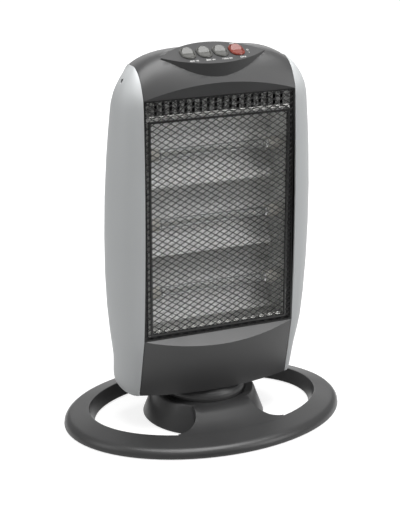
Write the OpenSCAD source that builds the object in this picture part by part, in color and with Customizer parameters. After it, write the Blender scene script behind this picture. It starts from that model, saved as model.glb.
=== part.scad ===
// Free-standing halogen heater: an upright head with three quartz lamps behind a
// diamond wire guard, swivelling on an open oval base.
// Millimetres. X to the right, Y to the back, Z up, origin on the floor under the swivel axis.

/* [Base ring] */
// Length of the oval base, side to side
base_len = 340; // [320:1:360]
// Depth of the oval base, front to back
base_dep = 249; // [238:1:265]
// Width of the ring seen from above
ring_w = 30; // [26:1:34]
// How far the inner flank of the ring leans in towards the floor
ring_lean = 6; // [2:0.5:8]
// Height of the soft outer edge of the ring
ring_edge_h = 12.4; // [10:0.2:14]
// Width of the rounded outer flank
ring_flank_w = 11; // [8:0.5:13]
// Height of the ring at its inner edge
ring_inner_h = 17.8; // [16:0.2:20]
// Wall of the base moulding
base_wall = 2.6; // [2:0.1:3.2]
// Height of the rubber feet under the base
foot_h = 1.6; // [1:0.1:2.5]
// Radius of a rubber foot
foot_r = 7; // [5:0.5:8]

/* [Base hub] */
// Radius of the hub at the floor
hub_foot_r = 72; // [68:0.5:76]
// Radius of the hub at its top
hub_top_r = 60; // [57:0.5:62]
// Height of the hub rim
hub_h = 33; // [30:0.5:36]
// Depth of the round seat that the turntable turns in
hub_seat_d = 1.5; // [1:0.1:2]
// Thickness of the hub deck
hub_deck = 3; // [2.5:0.1:4]
// Radius of the two round cuts beside the bridge between hub and ring
scoop_r = 28; // [26:0.2:28.4]
// Distance of the round cuts beside the axis
scoop_x = 63.2; // [62:0.2:65]
// Distance of the round cuts in front of the axis and behind it
scoop_y = 55.3; // [54:0.2:56]

/* [Swivel] */
// Radius of the turntable under the head
turn_r = 49.2; // [46:0.2:50]
// Radius of the swivel spigot
spigot_r = 7.5; // [6.5:0.1:7.7]
// Radial running clearance of the spigot in its bearing
spigot_clear = 0.05; // [0.02:0.01:0.1]
// Distance of the crank shaft behind the swivel axis
crank_y = 24.5; // [24.2:0.1:25]
// Throw of the crank
crank_throw = 12; // [11.5:0.1:12.2]
// Radius of the crank pin
crank_pin_r = 2.5; // [2:0.1:2.8]

/* [Head housing] */
// Height of the bottom edge of the head
head_z0 = 48; // [46:0.5:51]
// Half width of the head at its widest
head_half_w = 121.4; // [116:0.2:126]
// Height at which the head is widest
head_wide_z = 235; // [225:1:245]
// Height of the crown of the head
crown_z = 442.5; // [436:0.5:448]
// Height at which the shoulders begin
shoulder_z = 376.5; // [370:0.5:382]
// Half width of the dark middle of the head at its bottom
seam_x_low = 92.2; // [90:0.1:94]
// Half width of the dark middle of the head at its top
seam_x_top = 89; // [87:0.1:91]
// Wall of the housing mouldings
shell_t = 2.4; // [2:0.1:3]
// Visible gap between two housing mouldings
seam_gap = 0.7; // [0.4:0.1:1]
// Place of the back behind the axis, at the bottom of the head
back_y = 52.5; // [48:0.5:54]
// Forward lean of the back, run over rise
back_lean = 0.043; // [0.03:0.001:0.05]
// Half width of the back cover
back_half_w = 90; // [88:0.5:92]
// Height at which the back starts to round over
back_round_z = 385; // [378:1:392]

/* [Grille opening] */
// Height of the lower edge of the grille opening
grille_z0 = 120.5; // [116:0.5:126]
// Height of the upper edge of the grille opening
grille_z1 = 395.3; // [390:0.1:398]
// Place of the front face at the lower grille edge
front_y_low = -47.5; // [-50:0.1:-46]
// Place of the front face at the upper grille edge
front_y_top = -48.8; // [-51:0.1:-47]
// Forward bow of the panel edges beside the grille
edge_bow = 4.6; // [3:0.2:6]
// Place of the front face at the bottom of the head
front_y_foot = -30.9; // [-34:0.1:-28]

/* [Fascias] */
// Forward bulge of the lower fascia at its middle
lower_bulge = 16.5; // [12:0.5:18]
// Drop of the curved ledge under the grille
ledge_drop = 10.5; // [7:0.5:12]
// Rise of the upright lens over the grille
lens_rise = 13.2; // [9:0.2:15]

/* [Control panel] */
// Slope of the control panel, rise over run
panel_slope = 0.373; // [0.33:0.001:0.4]
// Rise of the control panel over the crown, at the crown line
panel_rise = 1.7; // [1.5:0.1:3.5]
// Radius of the front edge of the control panel, seen from above
panel_front_r = 115; // [108:1:120]
// Radius of the rear edge of the control panel, seen from above
panel_rear_r = 89; // [85:1:94]
// Place of the front edge of the control panel at its middle
panel_front_y = -45.2; // [-46:0.1:-44.6]
// Place of the rear edge of the control panel at its middle
panel_rear_y = -3; // [-5:0.1:-2]
// Distance between two switches
switch_pitch = 19.2; // [19:0.1:20]
// Length of the straight side of an oval switch
oval_run = 5; // [4:0.2:6]
// Half width of the oval hole for a switch
switch_hole_r = 7.5; // [7.2:0.1:7.8]
// Half width of an oval switch bezel
bezel_r = 8.6; // [8.4:0.1:8.8]
// Height of a switch bezel over the panel
bezel_h = 1.9; // [1.4:0.1:2.4]
// Half width of the opening in a switch bezel
bezel_open_r = 6.5; // [6.2:0.1:6.7]
// Half width of a rocker
rocker_r = 6.2; // [5.9:0.1:6.2]
// Tilt of a rocker on each side of level
rocker_tilt = 9; // [7:0.5:10]
// Radius of the pivot pins of a rocker
rocker_pin_r = 1; // [0.8:0.1:1.2]

/* [Guard] */
// Half width of the heavy wire rectangle that braces the guard
brace_half_w = 82.5; // [81.5:0.1:83]
// Width of the heavy wire rectangle of the guard
brace_w = 2.2; // [1.6:0.1:2.6]
// Height of the lower bar of the heavy wire rectangle
brace_z0 = 126.9; // [126:0.1:128]
// Height of the upper bar of the heavy wire rectangle
brace_z1 = 371; // [370:0.1:372]
// Width of one diamond of the mesh
mesh_w = 10.6; // [8:0.2:12]
// Height of one diamond of the mesh
mesh_h = 6.6; // [5:0.2:8]
// Radius of a mesh wire
wire_r = 0.5; // [0.4:0.02:0.55]
// Thickness of the guard rim
guard_rim = 2.2; // [2.2:0.1:2.6]

/* [Reflector and lamps] */
// Distance between two lamps
lamp_pitch = 80; // [78:0.5:81]
// Height of the middle lamp
lamp_mid_z = 250; // [248:0.5:252]
// Place of the lamps behind the front
lamp_y = -27; // [-29:0.5:-25]
// Radius of a quartz tube
lamp_r = 5.5; // [5:0.1:6]
// Wall of a quartz tube
lamp_wall = 1; // [0.8:0.1:1.2]
// Half length of a quartz tube
lamp_half_l = 66; // [63:0.5:67]
// Radius of a ceramic lamp cap
cap_r = 7; // [6.6:0.1:7.5]
// Radius of the reflector troughs
trough_r = 53; // [50:0.5:56]
// Place of the deepest line of the troughs
trough_y = -3; // [-5:0.5:0]
// Half width of the reflector floor
dish_half_w = 77; // [75:0.5:78]
// Half width of the reflector over its lips
lip_half_w = 85.5; // [84:0.5:86]
// Thickness of the reflector sheet
sheet_t = 0.8; // [0.6:0.1:1]
// Number of vent slots over the reflector
vent_n = 18; // [12:1:20]
// Distance between two vent slots
vent_pitch = 8.78; // [8:0.02:8.9]
// Width of a vent slot
vent_w = 3.5; // [3:0.1:4]
// Height of a vent slot
vent_h = 15; // [12:0.5:15]

/* [Hidden] */
$fn = 64;

// Small clearances
run_gap = 0.3;
eps = 0.01;

// Colours
dark_grey = [0.27, 0.27, 0.27];
silver = [0.68, 0.70, 0.71];
black = [0.04, 0.04, 0.04];
steel = [0.72, 0.72, 0.73];
rubber_black = [0.08, 0.08, 0.08];

// ---------------------------------------------------------------- base sizes
base_a = base_len / 2;
base_b = base_dep / 2;
shell_z = foot_h;
// Radius of curvature of the oval at its front, used for the bridge and its centre
ridge_a = base_a - ring_flank_w;
ridge_b = base_b - ring_flank_w;
// the bridge follows the ring from its middle to bridge_half_w, where the cuts run out
bridge_half_w = scoop_x + 2.8;
ridge_drop = ridge_b * (1 - sqrt(1 - pow(bridge_half_w / ridge_a, 2)));
ramp_r1 = (pow(bridge_half_w, 2) + pow(ridge_drop, 2)) / (2 * ridge_drop);
ramp_cy = ramp_r1 - ridge_b;
// rise of a web over its run from the ring's crest line: first with the ring's slope, then up to the hub
web_run = ridge_b - 0.6 - hub_top_r;
ring_slope = (ring_inner_h - 0.3 - ring_edge_h) / (ring_w - 2.2 - ring_flank_w);
web_mid = ring_w - ring_flank_w - 2;
web_rise = [
    [0, ring_edge_h], [web_mid, ring_edge_h + ring_slope * web_mid],
    [mix(web_mid, web_run, 0.25), mix(ring_edge_h + ring_slope * web_mid, hub_h, 0.17)],
    [mix(web_mid, web_run, 0.52), mix(ring_edge_h + ring_slope * web_mid, hub_h, 0.44)],
    [mix(web_mid, web_run, 0.78), mix(ring_edge_h + ring_slope * web_mid, hub_h, 0.74)],
    [web_run, hub_h]
];
seat_z = hub_h - hub_seat_d;
seat_r = turn_r + 1.2;
deck_z0 = seat_z - hub_deck;
bearing_z0 = 15;
bearing_r = spigot_r + 5.5;
slide_ring_h = 0.9;
turn_z0 = seat_z + slide_ring_h;
turn_wall = 2.6;
turn_skirt_z = hub_h - 0.6;

// ---------------------------------------------------------------- head outline
crown_y = -6;
wide_y_low = -6.5;
wide_y_z = 104;
wide_y_lean = 0.0515;
back_crown_m = 1.78;
outline_a = 1.95;
outline_b = 3.82;
side_k_low = 0.0000697;
side_n_low = 2.4;
side_k_top = 0.00036;
belly_z = 55;
belly_in = 1.2;
flare_z = 86;
flare_out = 4;

function clamp01(v) = min(1, max(0, v));
function mix(a, b, t) = a + (b - a) * t;

// Half width of the head at height z
function side_w(z) =
    z < head_wide_z
    ? head_half_w - side_k_low * pow(head_wide_z - z, side_n_low)
    : head_half_w - side_k_top * pow(z - head_wide_z, 2);
// the foot of the head flares out a little and rounds in at its very edge
function smooth01(v) = v * v * (3 - 2 * v);
function foot_flare(z) =
    flare_out * smooth01(clamp01((flare_z - z) / (flare_z - head_z0)))
    - (z < belly_z ? belly_in * pow((belly_z - z) / (belly_z - head_z0), 2) : 0);
function head_w(z) =
    z < shoulder_z
    ? side_w(z) + foot_flare(z)
    : side_w(shoulder_z)
        * pow(1 - pow(min(0.999, (z - shoulder_z) / (crown_z - shoulder_z)), outline_a), 1 / outline_b);
// Height of the crown line at half width x
function crown_at(x) =
    shoulder_z
    + (crown_z - shoulder_z)
        * pow(1 - pow(min(0.999, abs(x) / side_w(shoulder_z)), outline_b), 1 / outline_a);

// Half width of the dark middle at height z
function seam_x(z) =
    mix(seam_x_low, seam_x_top, clamp01((z - head_z0) / (crown_z - head_z0)));
// Height of the upright lens over the grille at half width x
function bulge_g(x, half) = 1 - pow(min(1, abs(x) / half), 2);
function lens_z(x) = grille_z1 + 0.4 + lens_rise * bulge_g(x, seam_x(grille_z1));
function dome_n(x) = 2.3 + 1.3 * pow(x / seam_x_top, 2);

// Front edge of a side panel at height z
corner_rise = crown_at(seam_x_top) - lens_z(seam_x_top);
// height share of the crown curve at a share of the way from the crown to the back
fascia_back_u = 1.4;
function crown_v(u) = pow(1 - pow(u, back_crown_m), 1 / back_crown_m);
function front_y(z) =
    z < grille_z0
    ? mix(front_y_foot, front_y_low, (z - head_z0) / (grille_z0 - head_z0))
    : z < grille_z1
        ? mix(front_y_low, front_y_top, (z - grille_z0) / (grille_z1 - grille_z0))
            - edge_bow * (1 - pow(2 * (z - grille_z0) / (grille_z1 - grille_z0) - 1, 2))
        : front_y_top
            + (crown_y - front_y_top)
                * (1 - pow(1 - min(0.999, max(0, z - lens_z(seam_x_top)) / corner_rise), 1 / dome_n(seam_x_top)));
// Place of the widest line of the head at height z
function wide_y_at(z) =
    wide_y_low - wide_y_lean * (z - wide_y_z) + 5 * pow(clamp01((112 - z) / (112 - head_z0)), 1.5);

// Back of the head: a full curve in plan that leans forward, rounding over above back_round_z
function back_n(z) = 2.5 + 0.9 * smooth01(clamp01((96 - z) / (96 - head_z0))) - 0.6 * clamp01((z - 380) / 50);
function back_mid_y(z) = back_y - back_lean * (z - head_z0) - 10 * pow(max(0, (80 - z) / (80 - head_z0)), 2);
function bow(x, w, n) = pow(max(0, 1 - pow(min(1, abs(x) / w), n)), 1 / n);
function rear_y(x, z) =
    wide_y_at(z) + (back_mid_y(z) - wide_y_at(z)) * bow(x, head_w(z), back_n(z));
function back_x(v) = mix(back_half_w, seam_x_top + 0.6, v);
function back_point(x, v, t = 0) = [
    x,
    crown_y + (rear_y(x, back_round_z) - t - crown_y) * pow(1 - pow(v, back_crown_m), 1 / back_crown_m),
    back_round_z + (crown_at(x) - t - back_round_z) * v
];
// Position along the round-over at height z, found by repeated substitution
function round_v(z, v, n) =
    n == 0
    ? v
    : round_v(z, clamp01((z - back_round_z) / (crown_at(back_x(v)) - back_round_z)), n - 1);
function back_edge(z) =
    z < back_round_z
    ? [back_half_w, rear_y(back_half_w, z)]
    : let (v = min(0.975, round_v(z, (z - back_round_z) / (crown_z - back_round_z), 6)))
        [back_x(v), back_point(back_x(v), v)[1]];

// ---------------------------------------------------------------- general modules

// Closed wall between an outer and an inner grid of points with the same rows and columns
module wall_between(outer, inner) {
    rows = len(outer);
    cols = len(outer[0]);
    points = concat([for (r = outer) each r], [for (r = inner) each r]);
    function out_i(i, j) = i * cols + j;
    function in_i(i, j) = (rows + i) * cols + j;
    faces = concat(
        [for (i = [0 : rows - 2]) for (j = [0 : cols - 2]) each [
            [out_i(i, j), out_i(i + 1, j), out_i(i + 1, j + 1)],
            [out_i(i, j), out_i(i + 1, j + 1), out_i(i, j + 1)],
            [in_i(i, j), in_i(i + 1, j + 1), in_i(i + 1, j)],
            [in_i(i, j), in_i(i, j + 1), in_i(i + 1, j + 1)]
        ]],
        [for (i = [0 : rows - 2]) each [
            [out_i(i, 0), in_i(i, 0), in_i(i + 1, 0)],
            [out_i(i, 0), in_i(i + 1, 0), out_i(i + 1, 0)],
            [out_i(i, cols - 1), in_i(i + 1, cols - 1), in_i(i, cols - 1)],
            [out_i(i, cols - 1), out_i(i + 1, cols - 1), in_i(i + 1, cols - 1)]
        ]],
        [for (j = [0 : cols - 2]) each [
            [out_i(0, j), in_i(0, j + 1), in_i(0, j)],
            [out_i(0, j), out_i(0, j + 1), in_i(0, j + 1)],
            [out_i(rows - 1, j), in_i(rows - 1, j), in_i(rows - 1, j + 1)],
            [out_i(rows - 1, j), in_i(rows - 1, j + 1), out_i(rows - 1, j + 1)]
        ]]
    );
    polyhedron(points = points, faces = faces, convexity = 6);
}

// Rod between two points of a plane of constant y
module rod_xz(p, q, y, r) {
    d = q - p;
    translate([p[0], y, p[1]])
        rotate([0, atan2(d[0], d[1]), 0])
            cylinder(h = norm(d), r = r, $fn = 16);
}

// Plate that lies in a plane of constant y, drawn in x and z
module plate_xz(y0, y1) {
    translate([0, y1, 0])
        rotate([90, 0, 0])
            linear_extrude(height = y1 - y0)
                children();
}

// ---------------------------------------------------------------- base

// Section of the ring: inset from the outer oval and height
flank_steps = 5;
ring_section = concat(
    [for (k = [0 : flank_steps])
        let (a = 90 * k / flank_steps)
            [ring_flank_w * (1 - cos(a)), shell_z + (ring_edge_h - shell_z) * sin(a)]],
    [
        [ring_w - 2.2, ring_inner_h - 0.3],
        [ring_w - 0.8, ring_inner_h - 0.4],
        [ring_w, ring_inner_h - 1.8],
        [ring_w + ring_lean, shell_z],
        [ring_w + ring_lean - base_wall, shell_z],
        [ring_w - base_wall, ring_inner_h - 3.6],
        [ring_flank_w + 1, ring_edge_h - base_wall],
        [ring_flank_w * 0.5, ring_edge_h - base_wall - 1.6],
        [base_wall, shell_z]
    ]
);
ring_steps = 84;

module ring_body() {
    n = len(ring_section);
    points = [for (i = [0 : ring_steps - 1])
        let (a = 360 * i / ring_steps)
            for (p = ring_section)
                [(base_a - p[0]) * cos(a), (base_b - p[0]) * sin(a), p[1]]];
    faces = [for (i = [0 : ring_steps - 1])
        let (m = (i + 1) % ring_steps)
            for (j = [0 : n - 1])
                let (k = (j + 1) % n)
                    each [
                        [i * n + j, i * n + k, m * n + k],
                        [i * n + j, m * n + k, m * n + j]
                    ]];
    polyhedron(points = points, faces = faces, convexity = 8);
}

// Web that rises from the ring to the hub, cut round on both sides; inset makes its hollow.
// It is drawn at the front; the rear web is its mirror image.
module web_body(inset) {
    z0 = inset > 0 ? shell_z - 1 : shell_z;
    intersection() {
        translate([0, 0, z0])
            linear_extrude(height = hub_h)
                difference() {
                    translate([-bridge_half_w, -ridge_b])
                        square([2 * bridge_half_w, ridge_b - 50]);
                    for (s = [0, 1])
                        mirror([s, 0])
                            translate([scoop_x, -scoop_y])
                                circle(r = scoop_r + inset);
                }
        translate([0, ramp_cy, 0])
            rotate_extrude($fn = 128)
                polygon(concat(
                    [[0, 0], [ramp_r1 - 0.6 - inset, 0]],
                    [for (p = web_rise) [ramp_r1 - 0.6 - inset - p[0], p[1] - inset]],
                    [[0, web_rise[len(web_rise) - 1][1] - inset]]
                ));
    }
}

module webs(inset) {
    web_body(inset);
    mirror([0, 1, 0])
        web_body(inset);
}

module hub_body() {
    rotate_extrude($fn = 128)
        polygon([
            [0, shell_z], [hub_foot_r, shell_z], [hub_top_r + 1, hub_h - 2.2],
            [hub_top_r - 1, hub_h], [seat_r, hub_h], [seat_r, seat_z], [0, seat_z]
        ]);
}

module hub_hollow() {
    rotate_extrude($fn = 128)
        polygon([
            [bearing_r, shell_z - 1], [hub_foot_r - base_wall, shell_z - 1], [hub_foot_r - base_wall, shell_z],
            [hub_top_r - base_wall, deck_z0], [bearing_r, deck_z0]
        ]);
    cylinder(h = bearing_z0, r = bearing_r + eps);
}

// Posts that the hub cover is screwed to, and bosses that the feet are fixed to
post_r = 4;
post_ring_r = 56;
post_bore_r = 1.6;
foot_inset = 20;
foot_angles = [35, 145, 215, 325];
cover_t = 1.6;
cover_r = hub_foot_r - base_wall - 1;
module at_posts() {
    for (a = [45 : 90 : 359])
        rotate(a)
            translate([post_ring_r, 0, 0])
                children();
}
module at_feet() {
    for (a = foot_angles)
        translate([(base_a - foot_inset) * cos(a), (base_b - foot_inset) * sin(a), 0])
            children();
}

module base_shell() {
    color(dark_grey)
        union() {
            ring_body();
            at_feet()
                translate([0, 0, shell_z])
                    cylinder(h = ring_edge_h - shell_z, r = foot_r - 2);
            difference() {
                union() {
                    hub_body();
                    webs(0);
                }
                difference() {
                    union() {
                        hub_hollow();
                        webs(base_wall);
                    }
                    at_posts()
                        translate([0, 0, shell_z + cover_t])
                            cylinder(h = hub_h, r = post_r);
                }
                at_posts()
                    translate([0, 0, shell_z])
                        cylinder(h = 12, r = post_bore_r);
                cylinder(h = 2 * hub_h, r = spigot_r + spigot_clear);
            }
        }
}

// Round cover that closes the hub from below
module base_cover() {
    color(black)
        difference() {
            translate([0, 0, shell_z])
                cylinder(h = cover_t, r = cover_r);
            at_posts()
                cylinder(h = 10, r = post_bore_r + 0.1);
        }
}

// Screws of the hub cover
module cover_screws() {
    color(steel)
        at_posts() {
            translate([0, 0, shell_z - 1.2])
                cylinder(h = 1.2, r = 3.4);
            translate([0, 0, shell_z - 0.2])
                cylinder(h = 9, r = post_bore_r - 0.05);
        }
}

// Rubber feet under the ring
module base_feet() {
    color(rubber_black)
        at_feet()
            cylinder(h = foot_h, r = foot_r);
}

// Slippery ring that the turntable rests on
slide_r0 = 41;
slide_r1 = 44.5;
module slide_ring() {
    color("white")
        translate([0, 0, seat_z])
            difference() {
                cylinder(h = slide_ring_h, r = slide_r1);
                translate([0, 0, -1])
                    cylinder(h = slide_ring_h + 2, r = slide_r0);
            }
}

// Slotted guide on the hub deck that the crank pin works in
guide_h = 4;
guide_y0 = spigot_r + 0.8;
guide_y1 = slide_r0 - 0.6;
guide_wall = 4;
module crank_guide() {
    color("white")
        translate([0, 0, seat_z])
            difference() {
                translate([-crank_pin_r - guide_wall, guide_y0, 0])
                    cube([2 * (crank_pin_r + guide_wall), guide_y1 - guide_y0, guide_h]);
                translate([-crank_pin_r - run_gap, guide_y0 - 1, 1])
                    cube([2 * (crank_pin_r + run_gap), guide_y1 - guide_y0 + 2, guide_h + 2]);
            }
}

// ---------------------------------------------------------------- swivel

// Round turntable under the head with its spigot and the rib that rests on the slippery ring
module turntable() {
    color(dark_grey)
        difference() {
            rotate_extrude($fn = 128)
                polygon([
                    [0, bearing_z0], [spigot_r, bearing_z0], [spigot_r, head_z0 - turn_wall - 1],
                    [slide_r0 + 0.3, head_z0 - turn_wall - 1], [slide_r0 + 0.3, turn_z0],
                    [slide_r1 - 0.3, turn_z0], [slide_r1 - 0.3, hub_h + 4],
                    [turn_r - turn_wall, hub_h + 3], [turn_r - turn_wall, turn_skirt_z],
                    [turn_r, turn_skirt_z], [turn_r, hub_h + 3.4], [turn_r - 0.9, hub_h + 6.4],
                    [turn_r - 2.6, hub_h + 9.4], [turn_r - 5.2, hub_h + 12.4], [turn_r - 9, head_z0], [0, head_z0]
                ]);
            translate([0, crank_y, hub_h])
                cylinder(h = head_z0, r = shaft_hole_r);
            translate([0, 0, bearing_z0 - 1])
                cylinder(h = 12, r = spigot_screw_r + 0.05);
        }
}

// Washer and screw that hold the spigot in its bearing
washer_t = 2;
spigot_screw_r = 2.2;
shaft_r = 3;
shaft_hole_r = shaft_r + 1.5;
module spigot_washer() {
    color(steel)
        translate([0, 0, bearing_z0 - washer_t])
            difference() {
                cylinder(h = washer_t, r = bearing_r - 1);
                translate([0, 0, -1])
                    cylinder(h = washer_t + 2, r = spigot_screw_r + 0.1);
            }
}

module spigot_screw() {
    color(steel)
        translate([0, 0, bearing_z0 - washer_t]) {
            translate([0, 0, -2.4])
                cylinder(h = 2.4, r = 2 * spigot_screw_r);
            translate([0, 0, -0.2])
                cylinder(h = washer_t + 10, r = spigot_screw_r);
        }
}

// Crank with its shaft; its pin stands over the slot of the guide
crank_z = hub_h + 5;
crank_t = 3;
pan_t = 3;
motor_z = head_z0 + pan_t;
shaft_len = 12;
pin_gap = 0.4;
module crank_arm() {
    color("white") {
        translate([0, crank_y, crank_z]) {
            cylinder(h = motor_z - crank_z + shaft_len, r = shaft_r);
            cylinder(h = crank_t, r = 5.5);
            translate([-3, 0, 0])
                cube([6, crank_throw, crank_t]);
            translate([0, crank_throw, 0])
                cylinder(h = crank_t, r = crank_pin_r + 0.9);
        }
        translate([0, crank_y + crank_throw, seat_z + guide_h + pin_gap])
            cylinder(h = crank_z + 1 - seat_z - guide_h - pin_gap, r = crank_pin_r);
    }
}

// Geared swivel motor on the floor pan
motor_r = 20;
motor_y = 9;
motor_h = 18;
module swivel_motor() {
    color(steel)
        difference() {
            union() {
                translate([0, motor_y, motor_z])
                    cylinder(h = motor_h, r = motor_r);
                for (s = [-1, 1])
                    translate([s * (motor_r + 3), motor_y, motor_z])
                        cylinder(h = 1, r = 5);
            }
            translate([0, crank_y, motor_z - 1])
                cylinder(h = shaft_len + 2, r = shaft_r + spigot_clear);
        }
}

// ---------------------------------------------------------------- head: bottom

// Outline inside the housing walls at height z
pan_gap = 0.25;
function pan_half(z, t) = concat(
    [for (c = [0 : 0.1 : 1]) [lower_point(c, 1, t)[0], lower_point(c, 1, t)[1]]],
    [for (p = panel_section(z, t)) [p[0], p[1]]],
    [for (c = [1, 0.8, 0.55, 0.3, 0]) [back_low_point(c, z, t)[0], back_low_point(c, z, t)[1]]]
);

// Floor of the head, carried by the turntable
module floor_pan() {
    s = pan_half(head_z0, shell_t + pan_gap);
    color(dark_grey)
        difference() {
            translate([0, 0, head_z0])
                linear_extrude(height = pan_t)
                    polygon(concat(s, [for (i = [len(s) - 2 : -1 : 1]) [-s[i][0], s[i][1]]]));
            translate([0, crank_y, 0])
                cylinder(h = 2 * head_z0, r = shaft_hole_r);
        }
}

module tip_switch() {
    color(black)
        translate([-62, -10, head_z0 + pan_t]) {
            cube([22, 16, 20]);
            translate([4, 4, 20])
                cube([3, 8, 3]);
            translate([14, 4, 20])
                cube([3, 8, 3]);
        }
}

module terminal_block() {
    color("white")
        translate([40, 0, head_z0 + pan_t]) {
            difference() {
                cube([36, 14, 12]);
                for (k = [0 : 2])
                    translate([7 + 11 * k, 7, 5])
                        cylinder(h = 10, r = 3);
            }
        }
}

// Gland in the back cover for the mains lead
gland_z = 100;
gland_x = 0;
gland_r = 7;
gland_bore_r = 3.6;
gland_y = rear_y(gland_x, gland_z - gland_r);
module cord_gland() {
    color(black)
        translate([gland_x, 0, gland_z])
            rotate([-90, 0, 0])
                difference() {
                    union() {
                        translate([0, 0, gland_y - 10])
                            cylinder(h = 13, r = gland_r);
                        translate([0, 0, gland_y + 0.1])
                            cylinder(h = 3, r = gland_r + 2);
                    }
                    translate([0, 0, gland_y - 20])
                        cylinder(h = 40, r = gland_bore_r);
                }
}

// ---------------------------------------------------------------- head: side panels

front_full = 0.97;
panel_rows = [0, 4, 9, 15, 24, 38, 54, 72, 102, 142, 187, 232, 277, 307, 328, 340, 350, 358, 365, 371, 375.5, 378.5];
// Section of a side panel at height z with its outer face moved in by t
function panel_section(z, t) =
    let (
        zi = z - t * clamp01((z - shoulder_z) / (crown_z - shoulder_z) * 1.2),
        f = [seam_x(z) + seam_gap / 2, front_y(z) + t],
        w = [max(head_w(zi) - t * 0.8, seam_x(z) + 1), wide_y_at(z)],
        b = back_edge(z),
        r = [min(b[0] + seam_gap / 2, w[0] - 0.4), b[1] - t],
        n = back_n(z)
    )
    concat(
        [for (a = [0 : 15 : 90])
            [f[0] + (w[0] - f[0]) * pow(sin(a), front_full), w[1] + (f[1] - w[1]) * pow(cos(a), front_full), zi]],
        [for (k = [1 : 7])
            let (x = w[0] - (w[0] - r[0]) * (1 - cos(90 * k / 7)))
                [x, w[1] + (r[1] - w[1]) * bow(x, w[0], n) / bow(r[0], w[0], n), zi]]
    );

// Last row of a side panel, closing it along the seam of the upper fascia
panel_top_z = crown_at(seam_x_top + seam_gap) - 0.4;
function panel_top_row(t) =
    let (
        s = panel_section(panel_top_z, t),
        n = len(s) - 1
    )
    [for (i = [0 : n]) [
        seam_x_top + seam_gap / 2 + 0.02,
        mix(front_y(panel_top_z), s[n][1], i / n),
        crown_at(seam_x_top + seam_gap / 2) - t
    ]];

module side_panel_shell() {
    wall_between(
        concat([for (h = panel_rows) panel_section(head_z0 + h, 0)], [panel_top_row(0)]),
        concat([for (h = panel_rows) panel_section(head_z0 + h, shell_t)], [panel_top_row(shell_t)])
    );
}

// Place and lean of the screw through a side panel
screw_seat = 0.2;
screw_z = mix(shoulder_z, crown_z, 0.5545);
screw_slope = (head_w(screw_z + 1) - head_w(screw_z - 1)) / 2;
screw_x = head_w(screw_z) - screw_seat;
screw_at = [screw_x, -18.3, screw_z];
screw_lean = atan2(1, -screw_slope);
screw_r = 2.7;
screw_run = 20;
module on_screw_axis() {
    translate(screw_at)
        rotate([0, screw_lean, 0])
            children();
}
module screw_hole() {
    on_screw_axis()
        cylinder(h = screw_run, r = screw_r + 0.25, center = true);
}

module right_side_panel() {
    color(silver)
        difference() {
            side_panel_shell();
            screw_hole();
        }
}

module left_side_panel() {
    color(silver)
        mirror([1, 0, 0])
            difference() {
                side_panel_shell();
                screw_hole();
            }
}

// ---------------------------------------------------------------- head: fascias

fascia_cols = [-1, -0.95, -0.88, -0.8, -0.7, -0.6, -0.5, -0.4, -0.3, -0.2, -0.1, 0,
    0.1, 0.2, 0.3, 0.4, 0.5, 0.6, 0.7, 0.8, 0.88, 0.95, 1];

function lower_point(c, s, t) =
    let (
        g = bulge_g(c, 1),
        z_top = grille_z0 - ledge_drop * g,
        z = mix(z_top - 1.15 * t, head_z0, s),
        x = c * (seam_x(z) - seam_gap / 2)
    )
    [x, front_y(z) - lower_bulge * g + t, z];
function lower_ledge(c, y, t) = [c * (seam_x(grille_z0) - seam_gap / 2), y, grille_z0 - t];

module lower_fascia() {
    rows = [1, 0.75, 0.5, 0.3, 0.12, 0];
    color(dark_grey)
        wall_between(
            concat(
                [for (s = rows) [for (c = fascia_cols) lower_point(c, s, 0)]],
                [[for (c = fascia_cols) lower_ledge(c, front_y_low - 0.1, 0)]],
                [[for (c = fascia_cols) lower_ledge(c, front_y_low + 6, 0)]]
            ),
            concat(
                [for (s = rows) [for (c = fascia_cols) lower_point(c, s, shell_t)]],
                [[for (c = fascia_cols) lower_ledge(c, front_y_low + shell_t, shell_t)]],
                [[for (c = fascia_cols) lower_ledge(c, front_y_low + 6, shell_t)]]
            )
        );
}

// Point of the upper fascia: u runs from the grille over the crown
function upper_point(c, u, t) =
    let (
        x = c * (seam_x(grille_z1) - seam_gap / 2),
        zl = lens_z(x) - 0.6 * t,
        zc = crown_at(x) - t,
        y0 = front_y_top + t
    )
    u <= 1
    ? [x, mix(y0, crown_y, u), zl + (zc - zl) * (1 - pow(1 - u, dome_n(x)))]
    : back_point(x, crown_v(u - 1), t);

module dome_shell() {
    rows = [0, 0.03, 0.07, 0.12, 0.18, 0.25, 0.33, 0.42, 0.52, 0.64, 0.78, 1, 1.15, 1.28, fascia_back_u - seam_gap / 100];
    x_at = seam_x(grille_z1) - seam_gap / 2;
    wall_between(
        concat(
            [[for (c = fascia_cols) [c * x_at, front_y_top, grille_z1]]],
            [for (u = rows) [for (c = fascia_cols) upper_point(c, u, 0)]]
        ),
        concat(
            [[for (c = fascia_cols) [c * x_at, front_y_top + shell_t, grille_z1]]],
            [for (u = rows) [for (c = fascia_cols) upper_point(c, u, shell_t)]]
        )
    );
}

panel_tilt = atan(panel_slope);
panel_z = crown_z + panel_rise;
panel_reach = head_half_w / 2;
// Moves its children into the frame of the control panel: origin on its face over the switches
switch_y = -24;
module on_panel() {
    translate([0, switch_y, panel_z + panel_slope * (switch_y - crown_y)])
        rotate([panel_tilt, 0, 0])
            children();
}

// Almond-shaped body of the control panel between two depths, made smaller all round by inset
module panel_block(inset, z0, z1) {
    intersection() {
        translate([0, 0, crown_z - panel_reach])
            linear_extrude(height = 1.4 * panel_reach)
                intersection() {
                    translate([0, panel_front_y + panel_front_r])
                        circle(r = panel_front_r - inset, $fn = 128);
                    translate([0, panel_rear_y - panel_rear_r])
                        circle(r = panel_rear_r - inset, $fn = 128);
                }
        on_panel()
            translate([-1.7 * panel_reach, -panel_reach, z0])
                cube([3.4 * panel_reach, 2 * panel_reach, z1 - z0]);
    }
}

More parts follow.
